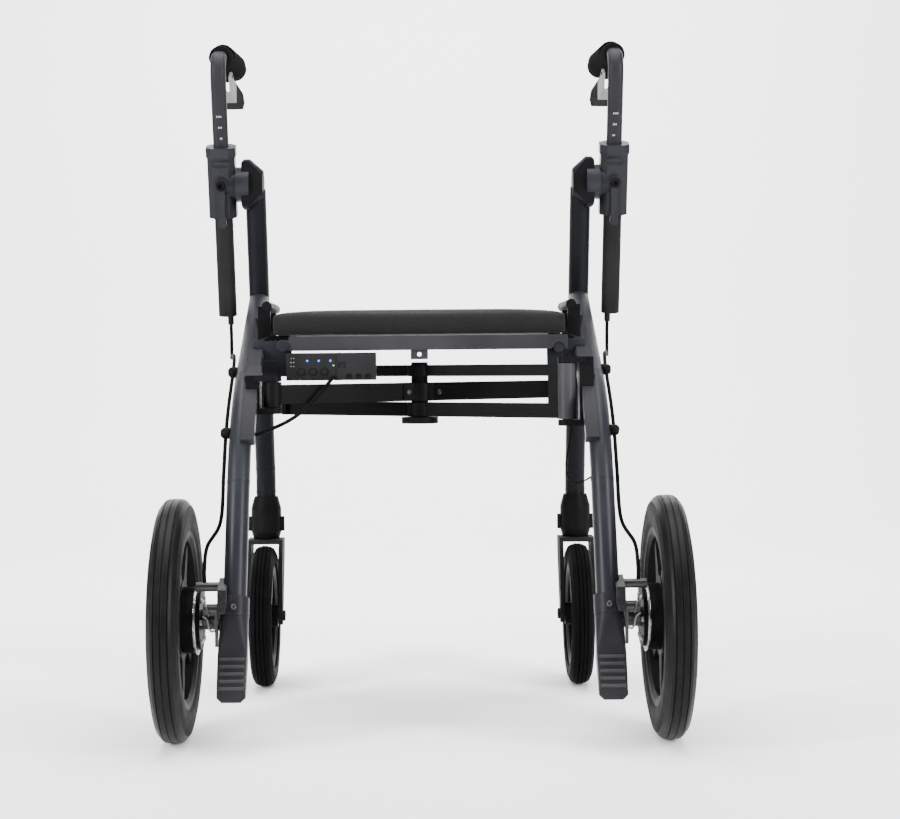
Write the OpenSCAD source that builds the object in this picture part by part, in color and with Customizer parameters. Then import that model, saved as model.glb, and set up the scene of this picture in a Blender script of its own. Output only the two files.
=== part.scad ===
// Rollator transport chair with hub-motor rear wheels, swivel casters, a folding X brace under the seat
// and height-adjustable handles. Millimetres, +Z up, +Y forward, +X to the right seen from behind.

/* [Wheels] */
// rear wheel diameter
rear_d = 315; // [280:1:340]
// rear tyre width
rear_w = 40; // [34:1:46]
// rear tyre centres, outside the side frames' planes
rear_out = 81; // [77:1:100]
// caster wheel diameter
caster_d = 212; // [180:1:216]
// caster tyre width
caster_w = 34; // [26:1:36]
// distance the caster axle trails behind its stem
trail = 38; // [30:1:44]

/* [Frame] */
// frame tube diameter
tube_d = 30; // [26:1:32]
// from the cushion's sides to the side frames' planes
frame_gap = 29; // [28:1:31]
// caster stem, forward of the rear axle
stem_y = 445; // [435:1:460]
// lean of the front tube and the handles, degrees
lean = 18; // [16:0.5:20]
// slope of the lower rear tube, degrees from upright
rear_lean = 22; // [20:0.5:24]
// height of the rear tube's lower end
foot_z = 177.5; // [174:0.5:181]

/* [Handles] */
// handle tubes, outside the side frames' planes
handle_out = 48; // [46:1:54]
// height of the handle hinges
hinge_z = 752; // [745:1:760]
// straight handle tube above its hinge
handle_rise = 157; // [145:1:165]
// grip length
grip_len = 122; // [110:1:130]

/* [Seat and brace] */
// cushion width
cushion_w = 418; // [400:1:460]
// cushion depth
cushion_l = 178; // [160:1:180]
// cushion thickness at its middle
cushion_t = 34; // [28:1:38]
// height of the cushion's underside
cushion_z = 529; // [528:1:534]
// rear pivots of the brace, inside the side frames' planes
pivot_in = 40; // [39:1:44]
// rear pivots, forward of the rear axle
pivot_y = 85; // [82:1:88]
// front ends of the brace, forward of its rear pivots
brace_l = 281; // [276:1:284]
// underside of the brace
brace_z = 413; // [410:1:416]
// lock bar underside
bar_z = 507; // [506:1:509]
// control box width
box_w = 124; // [110:1:124]

/* [Hidden] */
$fn = 64;
eps = 0.02;
run_gap = 0.05;
side_gap = 0.4;
rear_r = rear_d / 2;
caster_r = caster_d / 2;
// the part is centred on its bounding box, from the rear tyres to the caster tyres
mid_y = (stem_y - trail + caster_r - rear_r) / 2;
tube_r = tube_d / 2;
frame_x = cushion_w / 2 + frame_gap;
rear_x = frame_x + rear_out;
handle_x = frame_x + handle_out;
pivot_x = frame_x - pivot_in;
inner_x = frame_x - tube_r;

// rear tube: foot, straight length, bend, straight length into the front tube
foot_y = -50;
rear_run = 170;
rear_turn = 40;
rear_bend = 260;
bend_y = foot_y + rear_run * sin(rear_lean);
bend_z = foot_z + rear_run * cos(rear_lean);
top_lean = rear_lean + rear_turn;
join_y = bend_y + rear_bend * (cos(rear_lean) - cos(top_lean));
join_z = bend_z + rear_bend * (sin(top_lean) - sin(rear_lean));

// front tube: upright stub above the caster, a bend, then a straight leaning back to the hinge
stub_z = caster_d + 50;
stub_run = 30;
front_bend = 120;
straight_y = stem_y - front_bend * (1 - cos(lean));
straight_z = stub_z + stub_run + front_bend * sin(lean);
front_run = (hinge_z - 8 - straight_z) / cos(lean);
hinge_y = straight_y - (hinge_z - straight_z) * tan(lean);
// forward place of the front tube's axis at a height
function front_y(z) = straight_y - (z - straight_z) * tan(lean);
// the upper straight of the rear tube, ending just short of the front tube's axis
rear_top = (front_y(join_z) - join_y) / (sin(top_lean) + cos(top_lean) * tan(lean)) - 5;
function rear_y(z) = join_y + (z - join_z) * tan(top_lean);
function rear_z(y) = join_z + (y - join_y) / tan(top_lean);

// hub and axle
axle_r = 7;
drum_r = 43;
rim_r = rear_r - 45;
tyre_in = rear_x - rear_w / 2;
drum_in = tyre_in - 14;
plate_x = frame_x + tube_r - 6;

// caster
caster_y = stem_y - trail;
fork_z = caster_d + 8;
fork_in = caster_w / 2 + 4;
stem_r = 8;

// handle
tube_w = 22.4;
tube_t = 16;
sleeve_w = 27;
sleeve_t = 20.6;
clamp_w = 40;
clamp_t = 38;
clamp_lo = -47;
clamp_hi = 57;
bolt_z = 5;
sleeve_lo = -199;
tube_lo = -180;
clamp_x0 = handle_x - clamp_w / 2;
bend_r = 26;
grip_r = 17;
toe_in = 5;
brake_pin_y = 26;
brake_pin_z = -25;

// brace levels
low_h = 20;
mid_z = brace_z + low_h + 2;
mid_h = 26;
up_z = mid_z + mid_h + 9;
up_h = 16;
arm_t = 16;
span = sqrt(4 * pivot_x * pivot_x + brace_l * brace_l);
brace_turn = atan2(brace_l, 2 * pivot_x);
column_r = 12;
column_y = pivot_y + brace_l / 2;
end_y = pivot_y + brace_l;
pin_r = 6;
end_r = arm_t / 2 + 1;

// lock bar and control box
bar_h = 20;
bar_y0 = 158;
bar_t = 13;
bar_pin_x = 48 - frame_x;
head_x = frame_x - 44;
bar_pin_z = bar_z + 7;
box_x0 = 54 - frame_x;
box_h = 38;
box_z = bar_z - 3 - box_h;
box_y0 = 146;
box_t = 25;
rail_r = 7;
rail_x = cushion_w / 2 + 4;
rail_z = cushion_z + 41;
cushion_y0 = 182;

// Shared helpers

module place() translate([0, -mid_y, 0]) children();
module right() place() children();
module left() place() mirror([1, 0, 0]) children();

// straight runs of tube along +Z, each with a bend towards +Y
module tube_run(steps, d, i = 0) {
    if (i < len(steps)) {
        length = steps[i][0];
        turn = steps[i][1];
        radius = steps[i][2];
        cylinder(d = d, h = length);
        if (i > 0)
            seam(d);
        translate([0, 0, length]) {
            if (turn != 0) {
                seam(d);
                translate([0, radius, 0])
                    rotate([90, 0, -90])
                        rotate_extrude(angle = turn)
                            translate([radius, 0])
                                circle(d = d);
            }
            translate([0, radius * (1 - cos(turn)), radius * sin(turn)])
                rotate([-turn, 0, 0])
                    tube_run(steps, d, i + 1);
        }
    }
}

// low bead round a tube where a bend starts or ends
module seam(d)
    translate([0, 0, -2])
        cylinder(d = d + 0.6, h = 4);

// a cylinder along +X from x0 to x1 at a place in the side view
module across(x0, x1, y, z, r)
    translate([x0, y, z])
        rotate([0, 90, 0])
            cylinder(r = r, h = x1 - x0);

// a cylinder along +Y from y0 to y1
module along(y0, y1, x, z, r)
    translate([x, y0, z])
        rotate([-90, 0, 0])
            cylinder(r = r, h = y1 - y0);

module block(x, y, z)
    translate([x[0], y[0], z[0]])
        cube([x[1] - x[0], y[1] - y[0], z[1] - z[0]]);

// an outline drawn in the side view (Y, Z) and given a thickness along +X
module side_plate(x0, x1, outline)
    translate([x0, 0, 0])
        rotate([90, 0, 90])
            linear_extrude(x1 - x0)
                polygon(outline);

// a slot-shaped outline, w wide and t thick
module stadium(w, t) {
    square([w - t, t], center = true);
    for (s = [-1, 1])
        translate([s * (w - t) / 2, 0])
            circle(d = t);
}

// a rectangle with its corners cut off
module bevelled(w, t, c)
    polygon([
        for (s = [[1, 1], [-1, 1], [-1, -1], [1, -1]])
            for (k = s[0] * s[1] > 0 ? [0, 1] : [1, 0])
                [s[0] * (w / 2 - k * c), s[1] * (t / 2 - (1 - k) * c)]
    ]);

// the handle's own frame: origin on the hinge axis, +Z up the leaning tube
module on_handle()
    translate([handle_x, hinge_y, hinge_z])
        rotate([lean, 0, 0])
            children();

// the grip's own frame: origin where the tube's top bend ends, +Y along the grip
module on_grip()
    on_handle()
        translate([0, bend_r * (1 - cos(90 + lean)), handle_rise + bend_r * sin(90 + lean)])
            rotate([-lean, 0, 0])
                rotate([0, 0, toe_in])
                    children();

// Side frames

module rear_tube(d)
    translate([frame_x, foot_y, foot_z])
        rotate([-rear_lean, 0, 0])
            tube_run([[rear_run, rear_turn, rear_bend], [rear_top, 0, 0]], d);

module front_tube(d)
    translate([frame_x, front_y(hinge_z - 8), hinge_z - 8])
        rotate([180 + lean, 0, 0])
            tube_run([[front_run, lean, front_bend], [stub_run, 0, 0]], d);

// a place on the rear tube's bend where it has a slope
function bend_at(a) = [
    bend_y + rear_bend * (cos(rear_lean) - cos(a)), bend_z + rear_bend * (sin(a) - sin(rear_lean))
];

// the leaning straight alone, to cut the pieces that sit on it
module front_straight(d)
    translate([frame_x, straight_y, straight_z])
        rotate([lean, 0, 0])
            translate([0, 0, -40])
                cylinder(d = d, h = front_run + 40);

module front_leg()
    color("DimGray")
        front_tube(tube_d);

// its upper end is cut to sit against the front tube, where it is welded
module rear_leg()
    color("DimGray")
        difference() {
            rear_tube(tube_d);
            front_straight(tube_d);
        }

module foot_pedal()
    color("Black")
        translate([frame_x, foot_y, foot_z])
            rotate([180 - rear_lean, 0, 0]) {
                difference() {
                    translate([0, 0, -14])
                        cylinder(d = tube_d + 7, h = 26);
                    translate([0, 0, -15])
                        cylinder(d = tube_d, h = 15);
                }
                hull() {
                    translate([0, 0, 10])
                        cylinder(d = tube_d + 6, h = 2, $fn = 32);
                    translate([0, 4, 66])
                        rotate([0, 90, 0])
                            cylinder(d = 20, h = 37, center = true, $fn = 32);
                }
                hull() {
                    translate([0, 4, 66])
                        rotate([0, 90, 0])
                            cylinder(d = 20, h = 37, center = true, $fn = 32);
                    translate([0, 12, 112])
                        rotate([0, 90, 0])
                            cylinder(d = 9, h = 36, center = true, $fn = 32);
                    translate([0, 13, 119])
                        rotate([0, 90, 0])
                            cylinder(d = 7, h = 24, center = true, $fn = 32);
                }
                for (i = [0:4])
                    translate([0, 13.6 + i * 0.55, 68 + i * 9.4])
                        rotate([0, 90, 0])
                            cylinder(d = 4.6, h = 31, center = true);
            }

// Rear wheels

module axle_bracket()
    color("Silver") {
        difference() {
            side_plate(plate_x, plate_x + 12, [
                [-70, rear_r + 2], [-62, rear_r + 46], [-30, rear_r + 58], [-4, rear_r + 30],
                [18, rear_r + 14], [18, rear_r - 14], [-14, rear_r - 20]
            ]);
            rear_tube(tube_d);
            foot_socket();
        }
        across(plate_x + 12 - eps, drum_in - 1, 0, rear_r, 13);
        across(drum_in - 1 - eps, rear_x + 14, 0, rear_r, axle_r);
        // pin of the brake arm
        across(plate_x + 12 - eps, drum_in - 5, -34, rear_r + 18, 4);
        // cable stop above the axle
        difference() {
            across(plate_x + 12 - eps, drum_in + 4, -34, rear_r + 47, 6);
            translate([drum_in - 7, -34, rear_r + 36])
                cylinder(r = 1.6, h = 30);
        }
    }

// room for the pedal's collar beside the bracket
module foot_socket()
    translate([frame_x, foot_y, foot_z])
        rotate([180 - rear_lean, 0, 0])
            translate([0, 0, -14]) {
                cylinder(d = tube_d + 7 + side_gap, h = 140);
                translate([0, 0, 24])
                    cylinder(d = tube_d + 16, h = 116);
            }

module hub_motor()
    color("DarkSlateGray")
        difference() {
            union() {
                across(drum_in, drum_in + 5, 0, rear_r, drum_r - 4);
                across(drum_in + 5, drum_in + 8, 0, rear_r, drum_r + 2);
                across(drum_in + 8, rear_x + 16, 0, rear_r, drum_r);
                for (a = [0:60:300])
                    across(drum_in - 2.5, drum_in, 30 * cos(a), rear_r + 30 * sin(a), 3.2);
            }
            across(drum_in - 4, rear_x + 15, 0, rear_r, axle_r + run_gap);
        }

spoke_l = rim_r - drum_r - 12;
module rear_rim()
    color("Black")
        translate([rear_x, 0, rear_r])
            rotate([0, 90, 0]) {
                rotate_extrude()
                    polygon([
                        [rim_r - 10, -13], [rim_r - 4, -17], [rim_r + 3, -17], [rim_r + 3, -14],
                        [rim_r, -13], [rim_r, 13], [rim_r + 3, 14], [rim_r + 3, 17], [rim_r - 4, 17],
                        [rim_r - 10, 13]
                    ]);
                difference() {
                    union() {
                        translate([0, 0, -10])
                            cylinder(r = drum_r + 9, h = 26);
                        for (a = [0:360 / 7:359])
                            rotate([0, 0, a])
                                translate([drum_r + 4, 0, -9])
                                    linear_extrude(18)
                                        polygon([[0, -13], [spoke_l, -6], [spoke_l, 6], [0, 13]]);
                    }
                    translate([0, 0, -30])
                        cylinder(r = drum_r, h = 60);
                }
            }

module rear_tyre()
    color("DimGray")
        translate([rear_x, 0, rear_r])
            rotate([0, 90, 0])
                rotate_extrude()
                    polygon(tyre_outline(rear_r, rim_r, rear_w / 2));

// half-section of a tyre with three grooves round its tread
function tyre_outline(r, r_in, h) = [
    [r_in, -13], [r_in + 3, -14], [r_in + 3, -17], [r_in + 9, -h + 0.6], [r - 19, -h], [r - 9, -h + 2.2],
    [r - 3, -h + 7], [r - 0.8, -9.6], [r - 1.9, -9], [r - 1.9, -8.2], [r - 0.4, -7.6], [r, -1.2],
    [r - 1.2, -0.6], [r - 1.2, 0.6], [r, 1.2], [r - 0.4, 7.6], [r - 1.9, 8.2], [r - 1.9, 9], [r - 0.8, 9.6],
    [r - 3, h - 7], [r - 9, h - 2.2], [r - 19, h], [r_in + 9, h - 0.6], [r_in + 3, 17], [r_in + 3, 14],
    [r_in, 13]
];

// drum-brake arm on the axle bracket, pulled up by the brake wire
module brake_arm()
    color("Silver")
        difference() {
            union() {
                across(plate_x + 13, drum_in - 5, -34, rear_r + 18, 7);
                side_plate(plate_x + 14, plate_x + 18, [
                    [-39, rear_r + 16], [-37, rear_r - 30], [-31, rear_r - 30], [-29, rear_r + 16]
                ]);
            }
            across(plate_x + 12, drum_in, -34, rear_r + 18, 4 + run_gap);
        }

// Casters

module caster_housing()
    color("Black")
        difference() {
            union() {
                translate([frame_x, stem_y, fork_z + 1])
                    cylinder(d1 = 40, d2 = 46, h = 10);
                translate([frame_x, stem_y, fork_z + 11])
                    cylinder(d = 46, h = 36);
                translate([frame_x, stem_y, fork_z + 47])
                    cylinder(d1 = 46, d2 = 36, h = 18);
                for (s = [-1, 1])
                    translate([frame_x + s * 20, stem_y, fork_z + 12])
                        cylinder(d = 16, h = 22);
            }
            translate([frame_x, stem_y, stub_z])
                cylinder(d = tube_d, h = 60);
            translate([frame_x, stem_y, fork_z])
                cylinder(r = stem_r + run_gap, h = 34);
        }

module caster_fork()
    color("Gray") {
        translate([frame_x, stem_y, fork_z])
            cylinder(r = stem_r, h = 32);
        // crown
        difference() {
            union() {
                translate([frame_x, stem_y, fork_z - 6])
                    cylinder(r = 24, h = 6);
                block([frame_x - fork_in - 6, frame_x + fork_in + 6], [stem_y - 34, stem_y + 18],
                    [fork_z - 6, fork_z]);
            }
            block([frame_x - 60, frame_x + 60], [stem_y + 18, stem_y + 40], [fork_z - 10, fork_z + 10]);
        }
        for (s = [0, 1])
            translate([frame_x, 0, 0])
                mirror([s, 0, 0])
                    side_plate(fork_in, fork_in + 6, [
                        [stem_y + 18, fork_z - 6 + eps], [stem_y + 12, fork_z - 30],
                        [caster_y + 13, caster_r - 6], [caster_y + 7, caster_r - 13],
                        [caster_y - 7, caster_r - 13], [caster_y - 13, caster_r - 4],
                        [caster_y - 6, fork_z - 40], [stem_y - 34, fork_z - 6 + eps]
                    ]);
        across(frame_x - fork_in - 9, frame_x + fork_in + 9, caster_y, caster_r, 5);
        for (s = [-1, 1])
            translate([frame_x + s * (fork_in + 8), caster_y, caster_r])
                rotate([0, 90, 0])
                    cylinder(r = 8, h = 4, center = true);
    }

module caster_rim()
    color("Black")
        translate([frame_x, caster_y, caster_r])
            rotate([0, 90, 0])
                difference() {
                    union() {
                        rotate_extrude()
                            polygon([
                                [caster_r - 40, -10], [caster_r - 34, -13], [caster_r - 28, -13],
                                [caster_r - 28, 13], [caster_r - 34, 13], [caster_r - 40, 10]
                            ]);
                        translate([0, 0, -fork_in + 1])
                            cylinder(r = 17, h = 2 * fork_in - 2);
                        translate([0, 0, -4])
                            cylinder(r = caster_r - 35, h = 8);
                        for (a = [0:72:359])
                            rotate([0, 0, a])
                                translate([14, -5, -9])
                                    cube([caster_r - 50, 10, 18]);
                    }
                    translate([0, 0, -40])
                        cylinder(r = 5 + run_gap, h = 80);
                }

module caster_tyre()
    color("DimGray")
        translate([frame_x, caster_y, caster_r])
            rotate([0, 90, 0])
                rotate_extrude()
                    polygon(caster_outline(caster_r, caster_r - 28, caster_w / 2));

function caster_outline(r, r_in, h) = [
    [r_in, -13], [r_in + 2, -h + 1], [r - 12, -h], [r - 4, -h + 4], [r - 1, -7], [r - 2.4, -6.2],
    [r - 2.4, -5], [r - 0.2, -4.2], [r, -1.2], [r - 1.6, -0.6], [r - 1.6, 0.6], [r, 1.2], [r - 0.2, 4.2],
    [r - 2.4, 5],
    [r - 2.4, 6.2], [r - 1, 7], [r - 4, h - 4], [r - 12, h], [r_in + 2, h - 1], [r_in, 13]
];

// Handles

module handle_hinge()
    color("DarkGray")
        difference() {
            union() {
                // dark cover over the tube's top, tapered towards the inside and flat behind
                difference() {
                    translate([frame_x - 12, hinge_y, hinge_z])
                        rotate([0, 90, 0])
                            rotate_extrude()
                                polygon([[0, 0], [20, 0], [37, 19], [37, 28], [34, 31], [0, 31]]);
                    block([frame_x - 40, frame_x + 60], [hinge_y - 60, hinge_y - 19],
                        [hinge_z - 60, hinge_z + 60]);
                }
                // drum that carries the clamp
                across(frame_x + 8, clamp_x0 - side_gap, hinge_y, hinge_z, 25.5);
                across(clamp_x0 - side_gap - eps, clamp_x0 + 8, hinge_y, hinge_z, 9);
            }
            front_straight(tube_d);
        }

module handle_clamp()
    color("SlateGray")
        difference() {
            union() {
                on_handle() {
                    translate([0, 0, clamp_lo])
                        linear_extrude(clamp_hi - clamp_lo - 14)
                            bevelled(clamp_w, clamp_t, 9);
                    translate([0, 0, clamp_hi - 14])
                        linear_extrude(14)
                            bevelled(clamp_w + 3, clamp_t + 3, 10);
                }
                across(clamp_x0, handle_x, hinge_y, hinge_z, 22);
                // boss for the quick-release bolt, on the rear face
                on_handle()
                    translate([0, 0, bolt_z])
                        rotate([90, 0, 0])
                            cylinder(r = 10, h = clamp_t / 2 + 3);
            }
            on_handle() {
                translate([0, 0, clamp_lo - 1])
                    linear_extrude(clamp_hi - clamp_lo + 2)
                        stadium(tube_w + 2 * side_gap, tube_t + 2 * side_gap);
                // scooped recess below the collar
                translate([0, -clamp_t / 2 - 6, clamp_hi - 23])
                    rotate([0, 90, 0])
                        cylinder(r = 9, h = 26, center = true);
                translate([0, 0, bolt_z])
                    rotate([90, 0, 0])
                        translate([0, 0, clamp_t / 2 - 6])
                            cylinder(r = 4 + run_gap, h = 20);
            }
            across(clamp_x0 - 1, clamp_x0 + 8 + side_gap, hinge_y, hinge_z, 9 + run_gap);
        }

module guide_sleeve()
    color("DimGray")
        on_handle() {
            difference() {
                translate([0, 0, sleeve_lo])
                    linear_extrude(clamp_lo - sleeve_lo)
                        stadium(sleeve_w, sleeve_t);
                translate([0, 0, sleeve_lo + 6])
                    linear_extrude(clamp_lo - sleeve_lo)
                        stadium(tube_w + 2 * side_gap, tube_t + 2 * side_gap);
            }
            // barrel adjuster for the brake cable
            translate([-4, 0, sleeve_lo - 14])
                cylinder(r = 4.5, h = 14 + eps);
        }

module clamp_lever()
    color("Black")
        on_handle()
            translate([0, 0, bolt_z])
                rotate([90, 0, 0]) {
                    translate([0, 0, clamp_t / 2 - 5])
                        cylinder(r = 4, h = 10);
                    translate([0, 0, clamp_t / 2 + 3 + side_gap])
                        cylinder(r = 8.5, h = 7);
                    translate([0, 0, clamp_t / 2 + 3 + side_gap])
                        linear_extrude(6)
                            polygon([[-6, 0], [6, 0], [5, -44], [6.4, -58], [-6.4, -58], [-5, -44]]);
                    translate([0, -58, clamp_t / 2 + 3 + side_gap])
                        cylinder(r = 6.4, h = 6);
                }

module handle_tube()
    color("LightSlateGray")
        on_handle() {
            translate([0, 0, tube_lo])
                linear_extrude(handle_rise - tube_lo)
                    stadium(tube_w, tube_t);
            translate([0, bend_r, handle_rise])
                rotate([90, 0, -90])
                    rotate_extrude(angle = 90 + lean)
                        translate([bend_r, 0])
                            rotate([0, 0, 90])
                                stadium(tube_w, tube_t);
        }

module grip()
    color("Black") {
        on_grip() {
            rotate([-90, 0, 0])
                rotate_extrude()
                    polygon([
                        [0, -4], [grip_r - 2, -4], [grip_r, 4], [grip_r + 1, grip_len * 0.35],
                        [grip_r + 2.5, grip_len * 0.7], [grip_r + 1, grip_len - 6],
                        [grip_r - 5, grip_len], [0, grip_len]
                    ]);
            // palm rest
            translate([0, 22, 4])
                rotate([-90, 0, 0])
                    cylinder(r = grip_r + 1, h = grip_len - 34);
        }
        // brake clamp under the grip's root
        on_grip()
            difference() {
                block([-8, 8], [brake_pin_y - 9, brake_pin_y + 9], [brake_pin_z - 7, -10]);
                block([-9, 9], [brake_pin_y - 12, brake_pin_y - 3], [brake_pin_z - 8, brake_pin_z - 1]);
            }
        on_grip()
            translate([0, brake_pin_y, brake_pin_z])
                rotate([0, 90, 0])
                    cylinder(r = 3, h = 27, center = true);
    }

// looped brake lever: two cheeks beside the brake block, joined along their lower edge
lever_w = 26;
lever_in = lever_w / 2 - 4;
module lever_side(lift)
    side_plate(-lever_w, lever_w, [
        [brake_pin_y - 7, brake_pin_z + lift], [brake_pin_y, brake_pin_z + 7 + 2 * lift],
        [brake_pin_y + 14, brake_pin_z - 2 + 2 * lift], [grip_len - 8, brake_pin_z - 12 + 2 * lift],
        [grip_len + 6 - 2 * lift, brake_pin_z - 24], [grip_len - 8 - lift, brake_pin_z - 36 + lift],
        [brake_pin_y + 18, brake_pin_z - 33 + lift], [brake_pin_y + 2, brake_pin_z - 26 + lift]
    ]);
module brake_lever()
    color("Silver")
        on_grip()
            difference() {
                intersection() {
                    lever_side(0);
                    block([-lever_w / 2, lever_w / 2], [0, 200], [-120, 40]);
                }
                intersection() {
                    lever_side(5);
                    block([-lever_in, lever_in], [-50, 200], [-120, 80]);
                }
                block([-lever_in, lever_in], [0, brake_pin_y + 3], [-48, 40]);
                translate([0, brake_pin_y, brake_pin_z])
                    rotate([0, 90, 0])
                        cylinder(r = 3 + run_gap, h = 40, center = true);
            }

// Brake cables, swept along hand-placed points beside the rear tube

cable_r = 2.6;
function below_sleeve(d) =
    [handle_x - 4, hinge_y - sin(lean) * (sleeve_lo - 14 - d), hinge_z + cos(lean) * (sleeve_lo - 14 - d)];
cable_x = frame_x + tube_r + 5;
cable_points = [
    below_sleeve(side_gap),
    below_sleeve(7),
    below_sleeve(18),
    [cable_x + 12, rear_y(535) + 16, 535],
    [cable_x + 4, rear_y(505) + 6, 505],
    [cable_x, rear_y(480), 480],
    [cable_x, bend_y + 74, bend_z + 96],
    [cable_x, bend_y + 34, bend_z + 56],
    [cable_x, bend_y + 6, bend_z + 10],
    [cable_x + 2, bend_y - 18, bend_z - 50],
    [drum_in - 8, -28, rear_r + 92],
    [drum_in - 7, -34, rear_r + 66],
    [drum_in - 7, -34, rear_r + 53]
];
cable_steps = 5;
cable_sides = 8;
function spline(p, i, t) =
    let(n = len(p) - 1, a = p[max(i - 1, 0)], b = p[i], c = p[i + 1], d = p[min(i + 2, n)])
    0.5 * (2 * b + (c - a) * t + (2 * a - 5 * b + 4 * c - d) * t * t + (3 * b - a - 3 * c + d) * t * t * t);
function route(p) = [
    for (i = [0:len(p) - 2])
        for (k = [0:cable_steps - 1])
            spline(p, i, k / cable_steps),
    p[len(p) - 1]
];
function heading(q, i) =
    let(v = q[min(i + 1, len(q) - 1)] - q[max(i - 1, 0)])
    v / norm(v);

// a cord of round section along a list of points
module sweep(points, r, ref) {
    q = route(points);
    n = len(q);
    rings = [
        for (i = [0:n - 1])
            let(t = heading(q, i), u = cross(ref, t) / norm(cross(ref, t)), v = cross(t, u))
            for (k = [0:cable_sides - 1])
                q[i] + r * (cos(360 * k / cable_sides) * u + sin(360 * k / cable_sides) * v)
    ];
    walls = [
        for (i = [0:n - 2])
            for (k = [0:cable_sides - 1])
                let(a = i * cable_sides, b = a + cable_sides, j = (k + 1) % cable_sides)
                [a + k, a + j, b + j, b + k]
    ];
    first = [for (k = [0:cable_sides - 1]) k];
    last = [for (k = [cable_sides - 1:-1:0]) (n - 1) * cable_sides + k];
    polyhedron(rings, concat([first], [for (w = walls) [w[3], w[2], w[1], w[0]]], [last]));
}

module brake_cable()
    color("Black")
        sweep(cable_points, cable_r, [1, 0, 0]);

// Folding brace

module barrel(x, y, z0, z1, r)
    translate([x, y, z0])
        cylinder(r = r, h = z1 - z0);

// a bar from the left rear pivot towards the right front end, in the link's own frame
module link_bar(from, to, z0, h, t = arm_t)
    translate([-pivot_x, pivot_y, z0])
        rotate([0, 0, brace_turn])
            translate([from, -t / 2, 0])
                cube([to - from, t, h]);

// from the left rear pivot, through the middle, to the right front saddle
module single_link()
    color("Gray")
        difference() {
            union() {
                link_bar(0, span, mid_z, mid_h);
                barrel(-pivot_x, pivot_y, mid_z - 4, mid_z + mid_h + 4, 12);
                barrel(0, column_y, mid_z, mid_z + mid_h, 20);
                // hub plates either side of the column
                link_bar(span / 2 - 34, span / 2 + 34, mid_z + 1, mid_h - 2, arm_t + 5);
                barrel(pivot_x, end_y, mid_z, mid_z + mid_h, end_r);
            }
            barrel(-pivot_x, pivot_y, mid_z - 20, mid_z + mid_h + 20, pin_r + run_gap);
            barrel(0, column_y, mid_z - 20, mid_z + mid_h + 20, column_r);
        }

// two bars one above the other, from the right rear pivot to the left front saddle
module double_link()
    color("DimGray")
        mirror([1, 0, 0])
            difference() {
                union() {
                    for (level = [[brace_z, low_h], [up_z, up_h]]) {
                        link_bar(0, span, level[0], level[1]);
                        barrel(0, column_y, level[0], level[0] + level[1], 18);
                        barrel(pivot_x, end_y, level[0], level[0] + level[1], end_r);
                    }
                    barrel(-pivot_x, pivot_y, brace_z - 1, up_z + up_h + 1, 12);
                    link_bar(0, 26, brace_z + 3, up_z + up_h - brace_z - 6, 12);
                }
                barrel(-pivot_x, pivot_y, brace_z - 20, up_z + up_h + 20, pin_r + run_gap);
                barrel(0, column_y, brace_z - 20, up_z + up_h + 20, column_r + run_gap);
            }

module centre_column()
    color("Black") {
        barrel(0, column_y, brace_z - 1, up_z + up_h + 4, column_r);
        barrel(0, column_y, brace_z - 10, brace_z - 1, 26);
    }

// clevis on the rear tube for one end of the brace
module brace_clevis(z0, z1)
    difference() {
        union() {
            block([inner_x - 8, frame_x - 4], [pivot_y - 6, pivot_y + 24], [z0 - 9, z1 + 9]);
            for (z = [z0 - 9, z1 + 1]) {
                block([pivot_x, inner_x], [pivot_y - 12, pivot_y + 12], [z, z + 8]);
                barrel(pivot_x, pivot_y, z, z + 8, 12);
            }
            barrel(pivot_x, pivot_y, z0 - 9, z1 + 12, pin_r);
        }
        side_band(side_gap);
        rear_tube(tube_d);
    }

module left_brace_bracket()
    color("Black")
        brace_clevis(mid_z - 4, mid_z + mid_h + 4);

module right_brace_bracket()
    color("Gray")
        brace_clevis(brace_z - 1, up_z + up_h + 1);

// front edge of a seat on the front tube, just past the tube's axis
function saddle_y(z0, z1) = front_y((z0 + z1) / 2) + 4;

// open seat for a front end of the brace, on the inside of the front tube
module saddle(z0, z1)
    difference() {
        block([pivot_x + 2, frame_x - 4], [end_y - 20, saddle_y(z0, z1)], [z0, z1]);
        block([pivot_x - 1, pivot_x + end_r + 0.6], [end_y, stem_y], [z0 - 9, z1 + 9]);
        barrel(pivot_x, end_y, z0 - 9, z1 + 9, end_r + 0.6);
        front_straight(tube_d);
    }

module left_saddle()
    color("Black") {
        saddle(brace_z + 2, brace_z + low_h - 2);
        saddle(up_z + 2, up_z + up_h - 2);
        // web that joins the two forks along the tube
        difference() {
            block([pivot_x + end_r + 6, frame_x - 4], [end_y - 20, saddle_y(brace_z, up_z + up_h)],
                [brace_z + 4, up_z + up_h - 4]);
            front_straight(tube_d);
        }
    }

module right_saddle()
    color("Black")
        saddle(mid_z + 2, mid_z + mid_h - 2);

// Lock bar, seat and control box

module lock_bar()
    color("LightGray")
        difference() {
            union() {
                block([bar_pin_x + 9, head_x + 12], [bar_y0, bar_y0 + bar_t], [bar_z, bar_z + bar_h]);
                along(bar_y0, bar_y0 + bar_t, bar_pin_x, bar_pin_z, 8.5);
                block([bar_pin_x, bar_pin_x + 10], [bar_y0, bar_y0 + bar_t], [bar_z, bar_z + 15]);
                block([-12, 12], [bar_y0 + 4, bar_y0 + 9], [bar_z - 13, bar_z + eps]);
            }
            along(bar_y0 - 1, bar_y0 + bar_t + 1, bar_pin_x, bar_pin_z, 4 + run_gap);
            along(bar_y0 - 1, bar_y0 + 20, 0, bar_z - 6, 3);
            // the end hooks over the head on the right bracket
            along(bar_y0 - 1, bar_y0 + bar_t + 1, head_x, bar_z + 2, 7.4);
            block([head_x - 10.5, head_x + 7.4], [bar_y0 - 1, bar_y0 + bar_t + 1], [bar_z - 5, bar_z + 2]);
        }

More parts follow.
